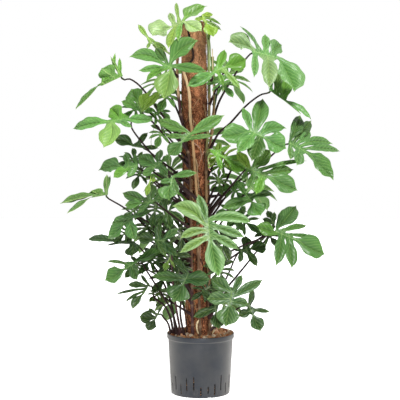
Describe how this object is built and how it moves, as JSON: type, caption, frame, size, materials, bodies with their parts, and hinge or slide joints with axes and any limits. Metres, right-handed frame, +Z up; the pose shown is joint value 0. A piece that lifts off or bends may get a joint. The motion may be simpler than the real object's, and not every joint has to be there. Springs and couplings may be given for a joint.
{
  "type": "potted philodendron",
  "caption": "Tall climbing philodendron with deeply lobed leaves on a coir pole, in a round slotted culture pot filled with clay granules.",
  "frame": {"origin": "middle of the pot's underside", "axes": "+Z up along the pot's axis, -Y towards the side that the fullest leaves face"},
  "size_m": [0.9089, 0.5885, 1.2712],
  "materials": {
    "pot_plastic": "matt dark grey injection moulded plastic",
    "clay": "dull fired clay granules, brown to orange",
    "coir": "rough reddish brown coconut fibre",
    "stake_wood": "plain sawn wood",
    "stem": "brown to green bark",
    "leaf": "half glossy green leaf"
  },
  "bodies": {
    "root": {"pot": "pot_plastic", "clay_granules": "clay", "coir_pole": "coir", "pole_stake": "stake_wood", "vine_left": "stem", "vine_front": "stem", "vine_right": "stem", "vine_back_right": "stem", "vine_back_left": "stem", "low_shoots": "stem", "leaf_arched_left": "leaf", "leaf_back_1": "leaf", "leaf_back_2": "leaf", "leaf_back_3": "leaf", "leaf_back_4": "leaf", "leaf_back_5": "leaf", "leaf_back_6": "leaf", "leaf_back_7": "leaf", "leaf_back_8": "leaf", "leaf_back_9": "leaf", "leaf_behind_right": "leaf", "leaf_broad_left": "leaf", "leaf_bud_left": "leaf", "leaf_crown": "leaf", "leaf_dark_left": "leaf", "leaf_dark_right": "leaf", "leaf_deep_left": "leaf", "leaf_edge_right": "leaf", "leaf_far_right": "leaf", "leaf_front_high": "leaf", "leaf_front_left": "leaf", "leaf_front_low": "leaf", "leaf_front_right": "leaf", "leaf_hand_left": "leaf", "leaf_hanging_left": "leaf", "leaf_high_right": "leaf", "leaf_inner_right": "leaf", "leaf_long_left": "leaf", "leaf_low_left": "leaf", "leaf_lowest_right": "leaf", "leaf_middle_right": "leaf", "leaf_oval_left": "leaf", "leaf_pair_left": "leaf", "leaf_pale_front": "leaf", "leaf_reaching_left": "leaf", "leaf_round_left": "leaf", "leaf_shade_left": "leaf", "leaf_shade_low": "leaf", "leaf_shade_right": "leaf", "leaf_small_left": "leaf", "leaf_star_left": "leaf", "leaf_teal_left": "leaf", "leaf_thin_left": "leaf", "leaf_top_right": "leaf", "leaf_under_right": "leaf", "leaf_upper_left": "leaf", "leaf_upper_right": "leaf", "leaf_wide_right": "leaf", "leaf_young_left": "leaf", "leaf_young_right": "leaf"}
  },
  "joints": []
}
